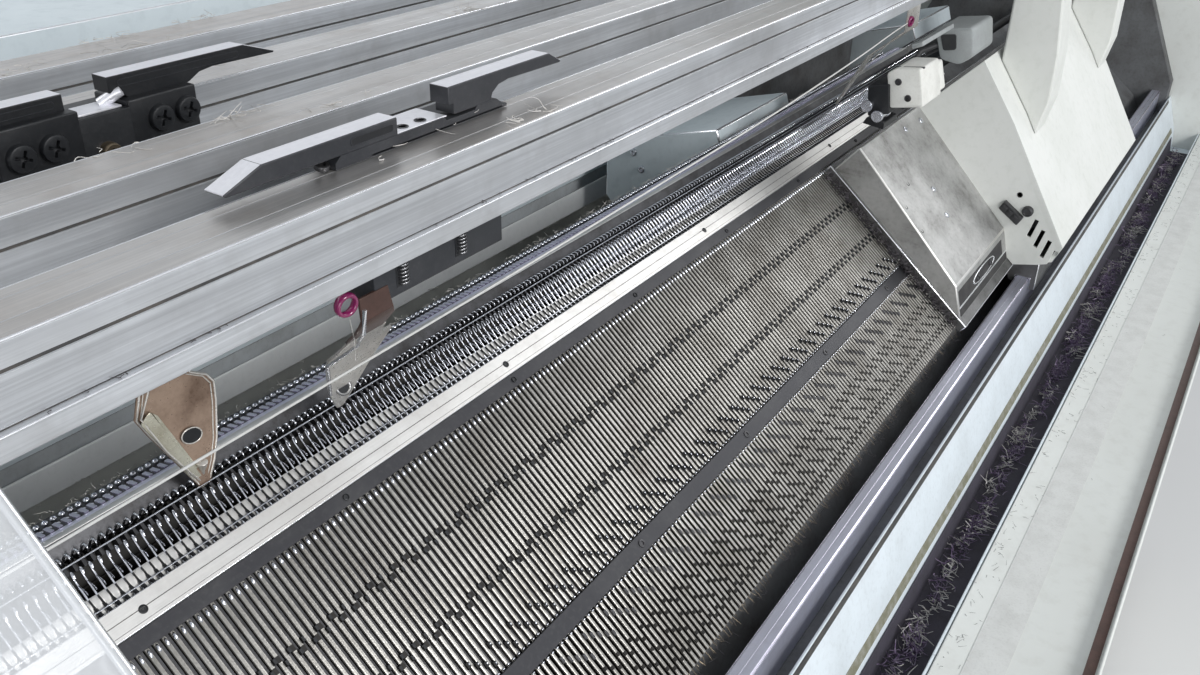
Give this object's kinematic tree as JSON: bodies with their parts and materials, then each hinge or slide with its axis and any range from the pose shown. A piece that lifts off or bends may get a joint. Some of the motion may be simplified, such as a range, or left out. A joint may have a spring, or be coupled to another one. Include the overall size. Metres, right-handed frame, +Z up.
{
  "type": "flat knitting machine",
  "caption": "Flat knitting machine: two sloping slotted needle beds under four feeder rails, with a bridging carriage, thread feeders, end covers, clear shield and yarn table",
  "frame": {"origin": "on the floor under the middle of the machine, at the bottom centre of its bounding box", "axes": "X along the needle beds to the operator's right, Y from the front (operator side) to the rear, Z up"},
  "size_m": [2.36, 0.66, 1.66],
  "materials": {
    "cabinet_paint": "satin off-white paint",
    "cover_paint": "satin pale green-white paint",
    "blue_paint": "satin silver-blue paint",
    "ledge_paint": "satin white paint, linty",
    "casting": "painted grey casting",
    "bed_steel": "milled steel, oiled",
    "needle_steel": "polished steel",
    "cap_steel": "brushed pale steel",
    "black_bar": "satin black",
    "rail_alu": "brushed aluminium",
    "guide_steel": "ground steel",
    "cam_steel": "ground steel",
    "box_steel": "mottled brushed steel",
    "black_steel": "blackened steel",
    "arm_steel": "ground steel",
    "bronze": "worn bronze",
    "eyelet_ceramic": "glossy ceramic",
    "roller_rubber": "ribbed black rubber",
    "belt_rubber": "grey toothed belt",
    "pulley_alu": "turned aluminium",
    "foot_rubber": "black rubber pads, steel stems",
    "clear_shield": "clear sheet, hazed"
  },
  "bodies": {
    "frame": {"left_pedestal": "cabinet_paint", "right_pedestal": "cabinet_paint", "levelling_feet": "foot_rubber", "left_end_cover": "cabinet_paint", "right_end_cover": "cabinet_paint", "front_bed_beam": "casting", "rear_bed_beam": "casting", "front_skirt": "cabinet_paint", "rear_skirt": "cabinet_paint", "rear_cover": "blue_paint", "belt_shelf": "ledge_paint", "front_ledge": "ledge_paint", "lint_trough": "ledge_paint", "left_rail_bracket": "casting", "right_rail_bracket": "casting", "front_needle_bed": "bed_steel", "front_needles": "needle_steel", "front_sinkers": "bed_steel", "front_cap_plate": "cap_steel", "front_upper_bar": "black_bar", "front_lower_bar": "black_bar", "feeder_rail_1": "rail_alu", "feeder_rail_2": "rail_alu", "feeder_rail_3": "rail_alu", "feeder_rail_4": "rail_alu", "front_guide_rail": "guide_steel", "rear_guide_rail": "guide_steel", "drive_belt": "belt_rubber", "yarn_table": "cabinet_paint", "yarn_tensioners": "needle_steel", "shield_rail": "rail_alu"},
    "carriage": {"carriage_bridge": "casting", "front_cam_plate": "cam_steel", "rear_cam_plate": "cam_steel", "front_cam_box_left": "box_steel", "front_cam_box_right": "box_steel", "rear_cam_boxes": "blue_paint", "carriage_cover": "cover_paint", "left_arch": "cover_paint", "right_arch": "cover_paint"},
    "feeder_1": {"feeder_1_carrier": "black_steel", "feeder_1_arms": "black_steel", "feeder_1_nose": "bronze"},
    "feeder_2": {"feeder_2_carrier": "black_steel", "feeder_2_arms": "arm_steel", "feeder_2_nose": "arm_steel", "feeder_2_eyelet": "eyelet_ceramic"},
    "feeder_3": {"feeder_3_carrier": "black_steel", "feeder_3_arms": "arm_steel", "feeder_3_nose": "arm_steel", "feeder_3_eyelet": "eyelet_ceramic"},
    "rear_bed": {"rear_needle_bed": "bed_steel", "rear_needles": "needle_steel", "rear_sinkers": "bed_steel", "rear_cap_plate": "cap_steel"},
    "pulley_left": {"drive_pulley_left": "pulley_alu"},
    "pulley_right": {"drive_pulley_right": "pulley_alu"},
    "roller_front": {"takedown_roller_front": "roller_rubber"},
    "roller_rear": {"takedown_roller_rear": "roller_rubber"},
    "shield": {"front_shield": "clear_shield"}
  },
  "joints": [
    {"name": "carriage_slide", "type": "slide", "parent": "frame", "child": "carriage", "axis": [1, 0, 0], "range_m": [-1.247, 0.267]},
    {"name": "feeder_1_slide", "type": "slide", "parent": "frame", "child": "feeder_1", "axis": [1, 0, 0], "range_m": [-0.208, 0.992]},
    {"name": "feeder_2_slide", "type": "slide", "parent": "frame", "child": "feeder_2", "axis": [1, 0, 0], "range_m": [-0.285, 0.915]},
    {"name": "feeder_3_slide", "type": "slide", "parent": "frame", "child": "feeder_3", "axis": [1, 0, 0], "range_m": [-0.88, 0.32]},
    {"name": "rear_bed_racking", "type": "slide", "parent": "frame", "child": "rear_bed", "axis": [1, 0, 0], "range_m": [-0.0254, 0.0254]},
    {"name": "shield_slide", "type": "slide", "parent": "frame", "child": "shield", "axis": [1, 0, 0], "range_m": [0, 1.62]},
    {"name": "pulley_left_spin", "type": "hinge", "parent": "frame", "child": "pulley_left", "pos_m": [-1.06, 0.239, 0.905], "axis": [0, 0, 1], "continuous": true},
    {"name": "pulley_right_spin", "type": "hinge", "parent": "frame", "child": "pulley_right", "pos_m": [1.06, 0.239, 0.905], "axis": [0, 0, 1], "continuous": true},
    {"name": "roller_front_spin", "type": "hinge", "parent": "frame", "child": "roller_front", "pos_m": [0, -0.025, 0.815], "axis": [1, 0, 0], "continuous": true},
    {"name": "roller_rear_spin", "type": "hinge", "parent": "frame", "child": "roller_rear", "pos_m": [0, 0.025, 0.815], "axis": [1, 0, 0], "continuous": true}
  ],
  "couplings": [
    {"joint": "pulley_left_spin", "follows": "carriage_slide", "rad_per_m": 33.333},
    {"joint": "pulley_right_spin", "follows": "carriage_slide", "rad_per_m": 33.333},
    {"joint": "roller_rear_spin", "follows": "roller_front_spin", "ratio": -1}
  ]
}
